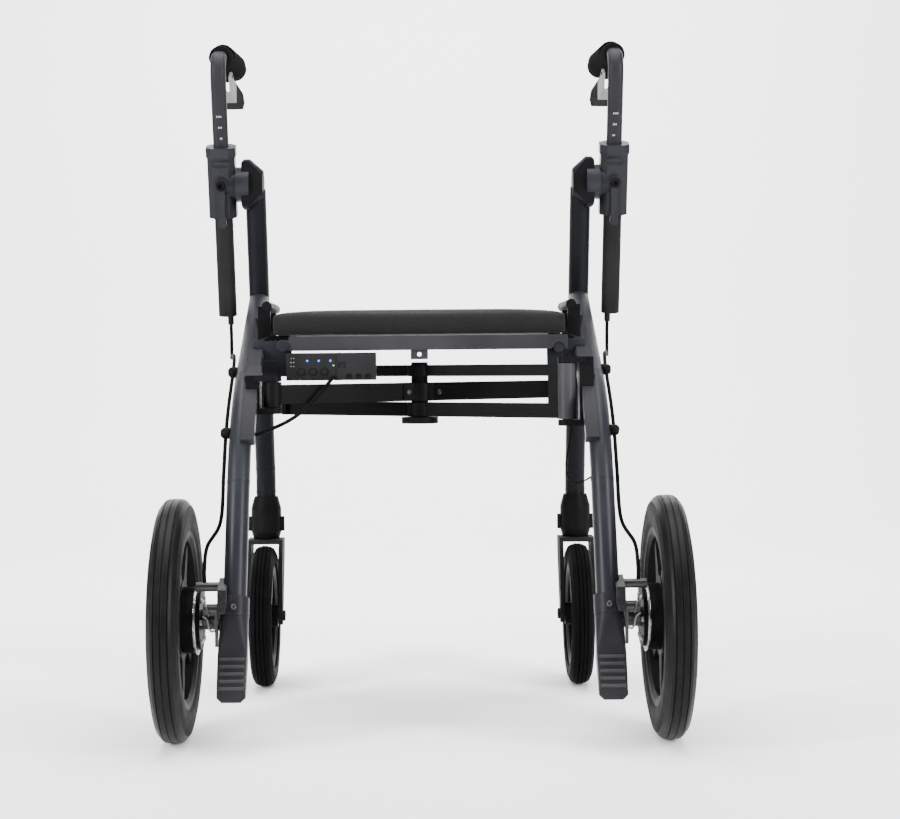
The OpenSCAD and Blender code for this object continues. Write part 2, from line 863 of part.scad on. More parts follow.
module left_bar_bracket()
    color("DimGray")
        mirror([1, 0, 0])
            difference() {
                union() {
                    side_block(bar_y0 + bar_t + side_gap, bar_y0 + bar_t + 6);
                    along(bar_y0 - 4, bar_y0 + bar_t + 6, -bar_pin_x, bar_pin_z, 4);
                    along(bar_y0 - 4, bar_y0 - 0.5, -bar_pin_x, bar_pin_z, 8);
                    // arm behind the control box
                    block([-box_x0 - box_w + 10, frame_x - 12], [bar_y0 + bar_t, bar_y0 + bar_t + 6],
                        [box_z + 10, box_z + 28]);
                }
                side_band(side_gap);
                rear_tube(tube_d);
            }

// plate from the rear tube to a bracket's head
module side_block(y0, y1)
    block([head_x - 16, inner_x + 8], [y0, y1], [bar_z - 32, bar_z + 14]);

module right_bar_bracket()
    color("DimGray")
        difference() {
            union() {
                side_block(bar_y0 + bar_t + side_gap, bar_y0 + bar_t + 7);
                along(bar_y0 + 1, bar_y0 + bar_t + 7, head_x, bar_z + 2, 7);
            }
            side_band(side_gap);
            rear_tube(tube_d);
        }

// flat band on the rear tube's inner rear side, with a block and a tongue below it, made larger by g
band_x0 = inner_x - 5;
band_x1 = inner_x + 13;
band_foot = 33;
module side_band(g = 0) {
    translate([0, bend_y + rear_bend * cos(rear_lean), bend_z - rear_bend * sin(rear_lean)])
        rotate([0, 90, 0]) {
            band_arc(band_foot, top_lean, 6 - g, 20 + g, band_x0 - g, band_x1 + g);
            band_arc(55, 61, 5 - g, 26 + g, band_x0 - 3 - g, band_x1 + 1 + g);
        }
    translate([0, join_y, join_z])
        rotate([-top_lean, 0, 0])
            block([band_x0 - g, band_x1 + g], [-20 - g, -6 + g], [-eps, 150 + g]);
}

// part of a ring round the rear tube's bend, between two slopes of the tube
module band_arc(a0, a1, r0, r1, x0, x1)
    rotate([0, 0, 270 - a1])
        rotate_extrude(angle = a1 - a0)
            translate([rear_bend + r0, x0])
                square([r1 - r0, x1 - x0]);

module seat_rail()
    color("Black") {
        along(cushion_y0, cushion_y0 + cushion_l - 20, rail_x, rail_z, rail_r);
        difference() {
            side_band();
            rear_tube(tube_d);
        }
        for (y = [cushion_y0 + 14, cushion_y0 + cushion_l - 60])
            difference() {
                union() {
                    block([cushion_w / 2 + 0.5, inner_x + 4], [y, y + 12],
                        [min(cushion_z - 7, rear_z(y + 6)), rail_z]);
                    block([rail_x - 32, inner_x + 4], [y, y + 12], [cushion_z - 7, cushion_z]);
                }
                rear_tube(tube_d);
                front_straight(tube_d);
            }
    }

// crowned cushion with drawn-in sides
cushion_nx = 16;
cushion_ny = 10;
function edge(t) = 1 - pow(abs(2 * t - 1), 6);
function crown(u, v) = cushion_t * (0.84 + 0.16 * edge(u) * edge(v));
// the sides draw in between the corners
function cushion_x(u, v) = (u - 0.5) * (cushion_w - 7 * edge(v));
function cushion_y(u, v) = cushion_y0 + cushion_l / 2 + (v - 0.5) * (cushion_l - 6 * edge(u));
function cushion_at(u, v, top) = [
    cushion_x(u, v),
    cushion_y(u, v),
    cushion_z + (top ? crown(u, v) : 0)
];

cushion_row = cushion_nx + 1;
function at(i, j, top) = (top ? cushion_row * (cushion_ny + 1) : 0) + j * cushion_row + i;

module seat_cushion()
    color("DarkSlateGray") {
        nx = cushion_nx;
        ny = cushion_ny;
        points = [
            for (top = [false, true])
                for (j = [0:ny])
                    for (i = [0:nx])
                        cushion_at(i / nx, j / ny, top)
        ];
        roof = [
            for (j = [0:ny - 1])
                for (i = [0:nx - 1])
                    for (f = [
                        [at(i, j, true), at(i, j + 1, true), at(i + 1, j + 1, true)],
                        [at(i, j, true), at(i + 1, j + 1, true), at(i + 1, j, true)]
                    ])
                        f
        ];
        base = [
            for (j = [0:ny - 1])
                for (i = [0:nx - 1])
                    for (f = [
                        [at(i, j, false), at(i + 1, j + 1, false), at(i, j + 1, false)],
                        [at(i, j, false), at(i + 1, j, false), at(i + 1, j + 1, false)]
                    ])
                        f
        ];
        ends = [
            for (i = [0:nx - 1])
                for (f = [
                    [at(i, 0, false), at(i, 0, true), at(i + 1, 0, true), at(i + 1, 0, false)],
                    [at(i, ny, false), at(i + 1, ny, false), at(i + 1, ny, true), at(i, ny, true)]
                ])
                    f
        ];
        sides = [
            for (j = [0:ny - 1])
                for (f = [
                    [at(0, j, false), at(0, j + 1, false), at(0, j + 1, true), at(0, j, true)],
                    [at(nx, j, false), at(nx, j, true), at(nx, j + 1, true), at(nx, j + 1, false)]
                ])
                    f
        ];
        polyhedron(points, concat(roof, base, ends, sides));
    }

// left edge of the battery cover, which fills the rest of the box's front
cover_x0 = box_x0 + box_w * 0.56;
button_x = [for (i = [0:2]) box_x0 + 21 + 16 * i];
button_z = box_z + 12;

module control_box()
    color("Black")
        difference() {
            block([box_x0, box_x0 + box_w], [box_y0, box_y0 + box_t], [box_z, box_z + box_h]);
            block([cover_x0, box_x0 + box_w + 1], [box_y0 - 1, box_y0 + 5], [box_z - 1, box_z + box_h + 1]);
            for (x = button_x)
                along(box_y0 - 1, box_y0 + 8, x, button_z, 4.6 + side_gap);
            for (x = button_x)
                along(box_y0 - 1, box_y0 + 1, x + 8, box_z + 27, 2.2);
        }

module battery_cover()
    color("DarkSlateGray")
        difference() {
            block([cover_x0, box_x0 + box_w], [box_y0 - 1, box_y0 + 5], [box_z, box_z + box_h]);
            for (i = [0:2])
                along(box_y0 - 2, box_y0 + 3, box_x0 + box_w * 0.7 + i * 13, box_z + 4, 5);
            block([cover_x0 + 2.5, cover_x0 + 12.5], [box_y0 - 2, box_y0 + 1], [box_z + 17, box_z + 25]);
        }

module button(i)
    color("DimGray")
        along(box_y0 - 2, box_y0 + 5, button_x[i], button_z, 4.6);

// from the box's rear face to the inner side of the left rear tube
power_x = box_x0 + box_w * 0.53;
power_end = bend_at(37);
power_points = [
    [power_x, box_y0, box_z + 4],
    [power_x - 2, box_y0 - 18, box_z + 2],
    [power_x - 12, box_y0 - 34, box_z - 11],
    [power_x - 32, box_y0 - 48, box_z - 34],
    [power_x - 56, box_y0 - 72, box_z - 52],
    [-inner_x + 19, power_end[0] + 7, power_end[1] + 6],
    [-inner_x + 0.3, power_end[0], power_end[1]]
];

module power_cable()
    color("Black")
        sweep(power_points, 2.6, [0, 1, 0]);

// screws that hold the control box to its arm
module bracket_screws()
    color("Silver")
        for (x = [box_x0 + 24, box_x0 + box_w - 30])
            along(bar_y0 + bar_t + 6, bar_y0 + bar_t + 9, x, box_z + 19, 4);

left() front_leg();  // left_front_tube
right() front_leg();  // right_front_tube
left() rear_leg();  // left_rear_tube
right() rear_leg();  // right_rear_tube
left() foot_pedal();  // left_foot_pedal
right() foot_pedal();  // right_foot_pedal
left() axle_bracket();  // left_axle_bracket
right() axle_bracket();  // right_axle_bracket
left() hub_motor();  // left_hub_motor
right() hub_motor();  // right_hub_motor
left() rear_rim();  // left_rear_rim
right() rear_rim();  // right_rear_rim
left() rear_tyre();  // left_rear_tyre
right() rear_tyre();  // right_rear_tyre
left() brake_arm();  // left_brake_arm
right() brake_arm();  // right_brake_arm
left() caster_housing();  // left_caster_housing
right() caster_housing();  // right_caster_housing
left() caster_fork();  // left_caster_fork
right() caster_fork();  // right_caster_fork
left() caster_rim();  // left_caster_rim
right() caster_rim();  // right_caster_rim
left() caster_tyre();  // left_caster_tyre
right() caster_tyre();  // right_caster_tyre
left() handle_hinge();  // left_handle_hinge
right() handle_hinge();  // right_handle_hinge
left() handle_clamp();  // left_handle_clamp
right() handle_clamp();  // right_handle_clamp
left() guide_sleeve();  // left_guide_sleeve
right() guide_sleeve();  // right_guide_sleeve
left() clamp_lever();  // left_clamp_lever
right() clamp_lever();  // right_clamp_lever
left() handle_tube();  // left_handle_tube
right() handle_tube();  // right_handle_tube
left() grip();  // left_grip
right() grip();  // right_grip
left() brake_lever();  // left_brake_lever
right() brake_lever();  // right_brake_lever
left() brake_cable();  // left_brake_cable
right() brake_cable();  // right_brake_cable
left() left_brace_bracket();
right() right_brace_bracket();
left() left_saddle();
right() right_saddle();
right() single_link();
right() double_link();
right() centre_column();
right() lock_bar();
right() left_bar_bracket();
right() right_bar_bracket();
left() seat_rail();  // left_seat_rail
right() seat_rail();  // right_seat_rail
right() seat_cushion();
right() control_box();
right() battery_cover();
right() button(0);  // button_1
right() button(1);  // button_2
right() button(2);  // button_3
right() power_cable();
right() bracket_screws();
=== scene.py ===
import math

import bmesh
import bpy
from mathutils import Matrix, Vector


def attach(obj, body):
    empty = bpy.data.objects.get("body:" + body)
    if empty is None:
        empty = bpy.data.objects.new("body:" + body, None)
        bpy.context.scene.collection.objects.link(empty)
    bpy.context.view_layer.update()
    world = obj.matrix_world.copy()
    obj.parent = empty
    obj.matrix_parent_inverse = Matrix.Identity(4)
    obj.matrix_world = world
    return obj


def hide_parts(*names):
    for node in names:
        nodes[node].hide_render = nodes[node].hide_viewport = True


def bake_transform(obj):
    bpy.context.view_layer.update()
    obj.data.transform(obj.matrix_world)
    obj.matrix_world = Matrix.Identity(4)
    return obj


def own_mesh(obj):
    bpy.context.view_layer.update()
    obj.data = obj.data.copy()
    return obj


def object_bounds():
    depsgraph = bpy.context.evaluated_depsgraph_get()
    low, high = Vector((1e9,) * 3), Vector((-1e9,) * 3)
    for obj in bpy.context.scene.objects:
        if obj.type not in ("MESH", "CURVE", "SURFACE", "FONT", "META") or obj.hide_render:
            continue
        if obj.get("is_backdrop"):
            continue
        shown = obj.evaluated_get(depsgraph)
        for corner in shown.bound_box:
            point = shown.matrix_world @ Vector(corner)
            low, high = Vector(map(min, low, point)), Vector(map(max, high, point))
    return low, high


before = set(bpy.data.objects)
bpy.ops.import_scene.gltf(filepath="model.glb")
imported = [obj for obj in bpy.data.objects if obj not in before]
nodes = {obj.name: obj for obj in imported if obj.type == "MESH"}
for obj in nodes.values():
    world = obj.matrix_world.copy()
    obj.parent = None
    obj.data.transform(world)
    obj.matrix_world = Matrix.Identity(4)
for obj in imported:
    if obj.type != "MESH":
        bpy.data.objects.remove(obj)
first_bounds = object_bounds()
scene = bpy.context.scene
SIDES = (("left", -1), ("right", 1))

# Sizes repeated from the CAD source, in metres; Y is measured from the rear axle there
MID = 0.17775
LEAN = math.radians(18)
HANDLE_X = 0.286
HINGE = Vector((HANDLE_X, 0.301712 - MID, 0.752))
FRAME_X = 0.238
TUBE_R = 0.015
REAR_R = 0.1575
FOOT_Z = 0.1775
DRUM_IN = 0.285
BEND = Vector((0.013683, 0.335121))
BEND_R = 0.260
JOIN = Vector((0.132688, 0.467290))
REAR_LEAN = math.radians(22)
UPPER_LEAN = math.radians(62)
PEDAL_Y = -0.050 - MID
STOP_X = DRUM_IN - 0.007
STOP_Y = -0.034 - MID
BOX_Y = 0.146 - MID
CABLE_X = FRAME_X + TUBE_R + 0.005
CABLE_D = 0.0052
CLIP_Z = 0.480

# Sizes of the scene's own
TREAD_R = 0.1485
SIGNAL_D = 0.0024
CUSHION_HALF = 0.2093
CUSHION_FLOOR = 0.5293


def on_handle(k, x, y, z):
    """A place in the handle's own frame, on the left (k = -1) or right side."""
    c, s = math.cos(LEAN), math.sin(LEAN)
    return Vector((k * (HINGE.x + x), HINGE.y + y * c - z * s, HINGE.z + y * s + z * c))


def rear_y(z):
    """Forward place of the rear tube's upper straight at a height."""
    return JOIN.x + (z - JOIN.y) * math.tan(UPPER_LEAN)


def bend_y(z):
    """Forward place of the rear tube's bend at a height."""
    turn = math.asin(math.sin(REAR_LEAN) + (z - BEND.y) / BEND_R)
    return BEND.x + BEND_R * (math.cos(REAR_LEAN) - math.cos(turn))


# Camera: behind the chair, a little below the cushion
cam_data = bpy.data.cameras.new("camera")
cam_data.sensor_width = 36.0
cam_data.lens = 73.8
cam_data.shift_x = 0.034
cam_data.shift_y = -0.055
camera = bpy.data.objects.new("camera", cam_data)
camera.location = (0.0, -2.578, 0.493)
camera.rotation_euler = (math.radians(90), math.radians(0.5), 0.0)
scene.collection.objects.link(camera)
scene.camera = camera


# Materials
EDGE_R = 0.0012


def shader(name):
    """A new material, its node tree and its main shader."""
    m = bpy.data.materials.new(name)
    m.use_nodes = True
    return m, m.node_tree, m.node_tree.nodes["Principled BSDF"]


def add(tree, kind, **values):
    """A node with some of its settings or inputs given by name."""
    n = tree.nodes.new(kind)
    for key, value in values.items():
        if hasattr(n, key) and key not in n.inputs:
            setattr(n, key, value)
        else:
            n.inputs[key].default_value = value
    return n


def link(tree, a, out, b, into):
    tree.links.new(a.outputs[out], b.inputs[into])


def noise(tree, coords, scale, detail=3.0, stretch=None):
    """Noise in object space, stretched along an axis on request."""
    n = add(tree, "ShaderNodeTexNoise", Scale=scale, Detail=detail)
    if stretch:
        m = add(tree, "ShaderNodeMapping", Scale=stretch)
        link(tree, coords, "Object", m, "Vector")
        link(tree, m, "Vector", n, "Vector")
    else:
        link(tree, coords, "Object", n, "Vector")
    return n


def tint(tree, source, dark, light, bsdf):
    """Base colour between two tints, driven by a texture."""
    ramp = tree.nodes.new("ShaderNodeValToRGB")
    ramp.color_ramp.elements[0].position = 0.32
    ramp.color_ramp.elements[0].color = (*dark, 1)
    ramp.color_ramp.elements[1].position = 0.7
    ramp.color_ramp.elements[1].color = (*light, 1)
    link(tree, source, "Fac", ramp, "Fac")
    link(tree, ramp, "Color", bsdf, "Base Color")
    return ramp


def spread(tree, source, low, high, bsdf):
    """Roughness between two values, driven by a texture."""
    r = add(tree, "ShaderNodeMapRange")
    r.inputs["From Min"].default_value = 0.3
    r.inputs["From Max"].default_value = 0.7
    r.inputs["To Min"].default_value = low
    r.inputs["To Max"].default_value = high
    link(tree, source, "Fac", r, "Value")
    link(tree, r, "Result", bsdf, "Roughness")


def relief(tree, source, bsdf, strength, distance, out="Fac", edge=EDGE_R):
    """Bump on top of softly rounded edges."""
    b = add(tree, "ShaderNodeBump", Strength=strength, Distance=distance)
    if edge:
        r = tree.nodes.new("ShaderNodeBevel")
        r.samples = 4
        r.inputs["Radius"].default_value = edge
        link(tree, r, "Normal", b, "Normal")
    link(tree, source, out, b, "Height")
    link(tree, b, "Normal", bsdf, "Normal")


def scaled(colour, f):
    """A colour made lighter or darker."""
    return tuple(min(1.0, c * f) for c in colour)


def surface(name, colour, rough, vary=0.18, blotch=18.0, grain=1400.0, strength=0.12,
            specular=0.22, edge=EDGE_R):
    """A painted or moulded surface: blotchy tint, uneven gloss and a fine grain."""
    m, tree, bsdf = shader(name)
    coords = tree.nodes.new("ShaderNodeTexCoord")
    wide = noise(tree, coords, blotch, 4.0)
    fine = noise(tree, coords, grain, 2.0)
    tint(tree, wide, scaled(colour, 1 - vary), scaled(colour, 1 + vary), bsdf)
    spread(tree, wide, rough - 0.06, rough + 0.08, bsdf)
    relief(tree, fine, bsdf, strength, 0.0004, edge=edge)
    bsdf.inputs["Specular IOR Level"].default_value = specular
    return m


def brushed(name, colour, rough, stretch):
    """Metal with drawn brush lines."""
    m, tree, bsdf = shader(name)
    coords = tree.nodes.new("ShaderNodeTexCoord")
    lines = noise(tree, coords, 220.0, 3.0, stretch)
    tint(tree, lines, scaled(colour, 0.82), scaled(colour, 1.1), bsdf)
    spread(tree, lines, rough - 0.08, rough + 0.1, bsdf)
    relief(tree, lines, bsdf, 0.08, 0.0003)
    bsdf.inputs["Metallic"].default_value = 1.0
    return m


def two_tone(name, rear, front, y):
    """Dull silver up to a place along Y, black in front of it."""
    m, tree, bsdf = shader(name)
    coords = tree.nodes.new("ShaderNodeTexCoord")
    lines = noise(tree, coords, 260.0, 3.0, (4.0, 1.0, 1.0))
    parts = tree.nodes.new("ShaderNodeSeparateXYZ")
    link(tree, coords, "Object", parts, "Vector")
    place = add(tree, "ShaderNodeMapRange")
    place.inputs["From Min"].default_value = y - 0.003
    place.inputs["From Max"].default_value = y + 0.003
    link(tree, parts, "Y", place, "Value")
    ramp = tint(tree, lines, scaled(rear, 0.8), scaled(rear, 1.15), bsdf)
    mix = tree.nodes.new("ShaderNodeMix")
    mix.data_type = "RGBA"
    mix.inputs[7].default_value = (*front, 1)
    link(tree, place, "Result", mix, 0)
    tree.links.new(ramp.outputs["Color"], mix.inputs[6])
    tree.links.new(mix.outputs[2], bsdf.inputs["Base Color"])
    spread(tree, lines, 0.6, 0.75, bsdf)
    relief(tree, lines, bsdf, 0.08, 0.0003)
    bsdf.inputs["Specular IOR Level"].default_value = 0.01
    return m


def dotted(name, colour, rough, scale):
    """Soft rubber with a fine moulded pattern."""
    m, tree, bsdf = shader(name)
    coords = tree.nodes.new("ShaderNodeTexCoord")
    cells = add(tree, "ShaderNodeTexVoronoi", Scale=scale)
    link(tree, coords, "Object", cells, "Vector")
    wide = noise(tree, coords, 24.0)
    tint(tree, wide, scaled(colour, 0.8), scaled(colour, 1.25), bsdf)
    spread(tree, wide, rough - 0.08, rough + 0.08, bsdf)
    relief(tree, cells, bsdf, 0.25, 0.0006, out="Distance")
    bsdf.inputs["Specular IOR Level"].default_value = 0.005
    return m


def woven(name, colour):
    """Charcoal spacer mesh: slanting rows of small loops."""
    m, tree, bsdf = shader(name)
    coords = tree.nodes.new("ShaderNodeTexCoord")
    turn = add(tree, "ShaderNodeMapping")
    turn.inputs["Rotation"].default_value = (math.radians(28), math.radians(38), math.radians(35))
    link(tree, coords, "Object", turn, "Vector")
    rows = add(tree, "ShaderNodeTexWave", Scale=118.0, Distortion=0.5, Detail=1.0)
    rows.bands_direction = "X"
    cross = add(tree, "ShaderNodeTexWave", Scale=140.0, Distortion=0.4, Detail=1.0)
    cross.bands_direction = "Z"
    for w in (rows, cross):
        link(tree, turn, "Vector", w, "Vector")
    both = add(tree, "ShaderNodeMath", operation="MULTIPLY")
    link(tree, rows, "Fac", both, 0)
    link(tree, cross, "Fac", both, 1)
    wide = noise(tree, coords, 22.0)
    ramp = tree.nodes.new("ShaderNodeValToRGB")
    ramp.color_ramp.elements[0].color = (*scaled(colour, 0.5), 1)
    ramp.color_ramp.elements[1].color = (*scaled(colour, 1.85), 1)
    ramp.color_ramp.elements[1].position = 0.75
    link(tree, both, "Value", ramp, "Fac")
    link(tree, ramp, "Color", bsdf, "Base Color")
    spread(tree, wide, 0.72, 0.92, bsdf)
    relief(tree, both, bsdf, 0.5, 0.0007, out="Value", edge=0.0)
    bsdf.inputs["Sheen Weight"].default_value = 0.05
    bsdf.inputs["Specular IOR Level"].default_value = 0.05
    return m


def glowing(name, colour, power):
    """A small lamp behind a speckled lens."""
    m, tree, bsdf = shader(name)
    coords = tree.nodes.new("ShaderNodeTexCoord")
    spots = noise(tree, coords, 600.0)
    tint(tree, spots, scaled(colour, 0.7), colour, bsdf)
    bsdf.inputs["Emission Color"].default_value = (*colour, 1)
    bsdf.inputs["Emission Strength"].default_value = power
    return m


MAT = {
    "frame": surface(
        "frame_paint", (0.012, 0.0131, 0.0165), 0.36,
        vary=0.14, grain=2600, specular=0.13,
    ),
    # front tubes: the frame's paint made darker, as painted shade on the far tubes
    "front": surface(
        "front_tube_shaded_paint", (0.0045, 0.005, 0.0064), 0.4,
        vary=0.14, grain=2600, specular=0.06,
    ),
    "bar": surface(
        "bar_paint", (0.022, 0.0212, 0.0245), 0.36,
        vary=0.24, blotch=9.0, grain=2600, specular=0.12,
    ),
    "clamp": surface(
        "clamp_paint", (0.0105, 0.0115, 0.0142), 0.34,
        vary=0.16, grain=2200, specular=0.15,
    ),
    "handle": surface(
        "handle_paint", (0.0145, 0.0145, 0.017), 0.36,
        vary=0.12, grain=2600, specular=0.08,
    ),
    "plastic": surface(
        "black_plastic", (0.0045, 0.0045, 0.005), 0.46,
        vary=0.22, strength=0.18, specular=0.03,
    ),
    "box": surface(
        "box_plastic", (0.014, 0.014, 0.015), 0.5,
        vary=0.16, strength=0.18, specular=0.03,
    ),
    "sleeve": surface(
        "sleeve_plastic", (0.0115, 0.0115, 0.012), 0.5,
        vary=0.16, strength=0.15, specular=0.03,
    ),
    "pedal": surface(
        "pedal_plastic", (0.0135, 0.0135, 0.0155), 0.38,
        vary=0.2, grain=1300, strength=0.2, specular=0.07,
    ),
    "ridge": surface(
        "pedal_ridge", (0.030, 0.030, 0.032), 0.38,
        vary=0.2, grain=1300, strength=0.2, specular=0.06,
    ),
    # brace links: black paint, made darker still as painted shade for the lower bar
    "link": surface(
        "brace_paint_and_shade", (0.003, 0.003, 0.0034), 0.36,
        vary=0.25, blotch=7.0, grain=2400, specular=0.035,
    ),
    "block": surface("pivot_grey", (0.027, 0.027, 0.030), 0.4, vary=0.15, grain=2000, specular=0.1),
    "band": surface("band_grey", (0.014, 0.014, 0.016), 0.4, vary=0.15, grain=2000, specular=0.07),
    "fork": surface("fork_paint", (0.013, 0.013, 0.014), 0.6, vary=0.18, grain=2000, specular=0.02),
    "steel": brushed("brushed_steel", (0.34, 0.34, 0.35), 0.34, (1.0, 6.0, 1.0)),
    "dark_steel": brushed("dark_steel", (0.055, 0.055, 0.058), 0.36, (1.0, 6.0, 1.0)),
    "chrome": brushed("chrome_ring", (0.6, 0.6, 0.61), 0.18, (1.0, 1.0, 1.0)),
    "lever": two_tone("lever_silver", (0.20, 0.20, 0.205), (0.0022, 0.0022, 0.0025), 0.158),
    "tyre": surface(
        "tyre_rubber", (0.0052, 0.0052, 0.0056), 0.6,
        vary=0.3, blotch=30.0, strength=0.25, specular=0.03,
    ),
    "tread": surface(
        "tread_rubber", (0.004, 0.004, 0.0043), 0.4,
        vary=0.3, blotch=30.0, strength=0.15, specular=0.075,
    ),
    "caster": surface(
        "caster_rubber", (0.003, 0.003, 0.0033), 0.62,
        vary=0.3, blotch=30.0, strength=0.2, specular=0.015,
    ),
    "rubber": dotted("grip_rubber", (0.0055, 0.0055, 0.0055), 0.85, 420.0),
    "cable": dotted("cable_sheath", (0.004, 0.004, 0.004), 0.45, 700.0),
    "fabric": woven("mesh_fabric", (0.0112, 0.0108, 0.0112)),
    "white": surface("printed_white", (0.55, 0.55, 0.55), 0.5, vary=0.08, grain=900),
    "faint": surface("printed_grey", (0.22, 0.22, 0.22), 0.5, vary=0.08, grain=900),
    "led": glowing("blue_led", (0.01, 0.16, 0.9), 1.3),
    "led_green": glowing("green_led", (0.30, 0.5, 0.25), 0.25),
}

NODE_MAT = dict(
    front_tube="front", rear_tube="frame", foot_pedal="pedal", axle_bracket="dark_steel",
    hub_motor="plastic", rear_rim="plastic", rear_tyre="tyre", brake_arm="dark_steel",
    caster_housing="plastic", caster_fork="fork", caster_rim="plastic", caster_tyre="caster",
    handle_hinge="plastic", handle_clamp="clamp", guide_sleeve="sleeve", clamp_lever="handle",
    handle_tube="handle", grip="rubber", brake_lever="lever", brace_bracket="plastic",
    saddle="plastic", bar_bracket="frame", seat_rail="plastic", single_link="link",
    double_link="link", centre_column="plastic", lock_bar="bar", control_box="box",
    battery_cover="box", button_1="sleeve", button_2="sleeve", button_3="sleeve",
    bracket_screws="steel",
)


def finish(name, *keys, pick=None):
    """Give a CAD node one material, or several chosen by a face's middle."""
    mesh = nodes[name].data
    mesh.materials.clear()
    for key in keys:
        mesh.materials.append(MAT[key])
    for p in mesh.polygons:
        p.material_index = pick(p.center) if pick else 0


for name in nodes:
    plain = name.split("_", 1)[1] if name.startswith(("left_", "right_")) else name
    if plain in NODE_MAT:
        finish(name, NODE_MAT[plain])


def on_ridge(c):
    """Whether a face of a pedal lies on one of its five ridges."""
    dy, dz = c.y - PEDAL_Y, c.z - FOOT_Z
    out = -math.cos(REAR_LEAN) * dy + math.sin(REAR_LEAN) * dz
    down = -math.sin(REAR_LEAN) * dy - math.cos(REAR_LEAN) * dz
    return any(math.hypot(out - 0.0136 - 0.00055 * i, down - 0.068 - 0.0094 * i) < 0.0025 for i in range(5))


def on_drum(c):
    """Whether a face of a hinge lies on its round drum and not on its cover."""
    return abs(c.x) > FRAME_X + 0.019 or c.y < HINGE.y - 0.0192


def hub_zone(c):
    """Part of a hub motor: 0 drum, 1 ring, 2 bolts."""
    if abs(c.x) < DRUM_IN - 0.0001:
        return 2
    return int(DRUM_IN + 0.0049 < abs(c.x) < DRUM_IN + 0.0081)


def on_tread(c):
    """Whether a face of a rear tyre lies on its tread."""
    return math.hypot(c.y + MID, c.z - REAR_R) > TREAD_R


def on_band(c):
    """Whether a face of a seat rail lies on its flat side band."""
    return abs(c.x) > 0.2178 and c.z < 0.5455 or c.z < 0.515


for side, _ in SIDES:
    # grey drum beside the dark hinge cover, bright ring and bolts on the hub, pale ridges on the pedal
    finish(side + "_handle_hinge", "plastic", "clamp", pick=lambda c: int(on_drum(c)))
    finish(side + "_hub_motor", "plastic", "chrome", "steel", pick=hub_zone)
    finish(side + "_foot_pedal", "pedal", "ridge", pick=lambda c: int(on_ridge(c)))
    # tread a little glossier than the sidewalls
    finish(side + "_rear_tyre", "tyre", "tread", pick=lambda c: int(on_tread(c)))
    # grey band on the rear tube, beside the black rail and its brackets
    finish(side + "_seat_rail", "plastic", "band", pick=lambda c: int(on_band(c)))
# grey block at the right end of the brace
finish("double_link", "link", "block", pick=lambda c: int(c.x > 0.184))


# Mesh helpers
def mesh_object(name, bm, mat, smooth=True):
    """An object from a finished mesh, with one material."""
    mesh = bpy.data.meshes.new(name)
    bm.to_mesh(mesh)
    bm.free()
    for p in mesh.polygons:
        p.use_smooth = smooth
    obj = bpy.data.objects.new(name, mesh)
    scene.collection.objects.link(obj)
    obj.data.materials.append(MAT[mat])
    return obj


def aim(direction, up=(0, 0, 1)):
    """A rotation whose +Z points along direction."""
    z = Vector(direction).normalized()
    x = Vector(up).cross(z)
    if x.length < 1e-6:
        x = Vector((1, 0, 0))
    x.normalize()
    return Matrix((x, z.cross(x), z)).transposed().to_4x4()


def circle(sides):
    """Cosine and sine at each corner of a round section."""
    angles = [2 * math.pi * i / sides for i in range(sides)]
    return [(math.cos(a), math.sin(a)) for a in angles]


def skin(bm, rings):
    """Faces between rings of points, with closed ends."""
    sides = len(rings[0])
    for a, b in zip(rings, rings[1:]):
        for i in range(sides):
            j = (i + 1) % sides
            bm.faces.new((a[i], a[j], b[j], b[i]))
    bm.faces.new(list(reversed(rings[0])))
    bm.faces.new(rings[-1])


def turned(bm, place, direction, profile, sides=28):
    """Turn (radius, height) points round a direction."""
    turn = Matrix.Translation(place) @ aim(direction)
    rings = []
    for r, h in profile:
        rings.append([bm.verts.new(turn @ Vector((r * c, r * s, h))) for c, s in circle(sides)])
    skin(bm, rings)


def screw_head(bm, place, direction, r):
    """A button-head screw with a round socket."""
    turned(bm, place, direction, [
        (r, 0), (r, 0.35 * r), (0.86 * r, 0.58 * r), (0.62 * r, 0.68 * r),
        (0.42 * r, 0.7 * r), (0.4 * r, 0.25 * r), (0.05 * r, 0.22 * r),
    ])


def spline(points, steps=6):
    """Catmull-Rom points through the given ones, as in the CAD source."""
    n = len(points) - 1
    out = []
    for i in range(n):
        a, b, c, d = points[max(i - 1, 0)], points[i], points[i + 1], points[min(i + 2, n)]
        for s in range(steps):
            t = s / steps
            out.append(0.5 * (2 * b + (c - a) * t + (2 * a - 5 * b + 4 * c - d) * t * t
                              + (3 * b - a - 3 * c + d) * t ** 3))
    out.append(points[-1].copy())
    return out


def tube_mesh(name, path, r, mat, sides=12):
    """A round tube along a path, with closed ends."""
    bm = bmesh.new()
    rings = []
    side = Vector((1, 0, 0))
    for i, p in enumerate(path):
        t = (path[min(i + 1, len(path) - 1)] - path[max(i - 1, 0)]).normalized()
        side = (side - t * side.dot(t)).normalized()
        up = t.cross(side)
        rings.append([bm.verts.new(p + r * (c * side + s * up)) for c, s in circle(sides)])
    skin(bm, rings)
    bmesh.ops.recalc_face_normals(bm, faces=bm.faces)
    return mesh_object(name, bm, mat)


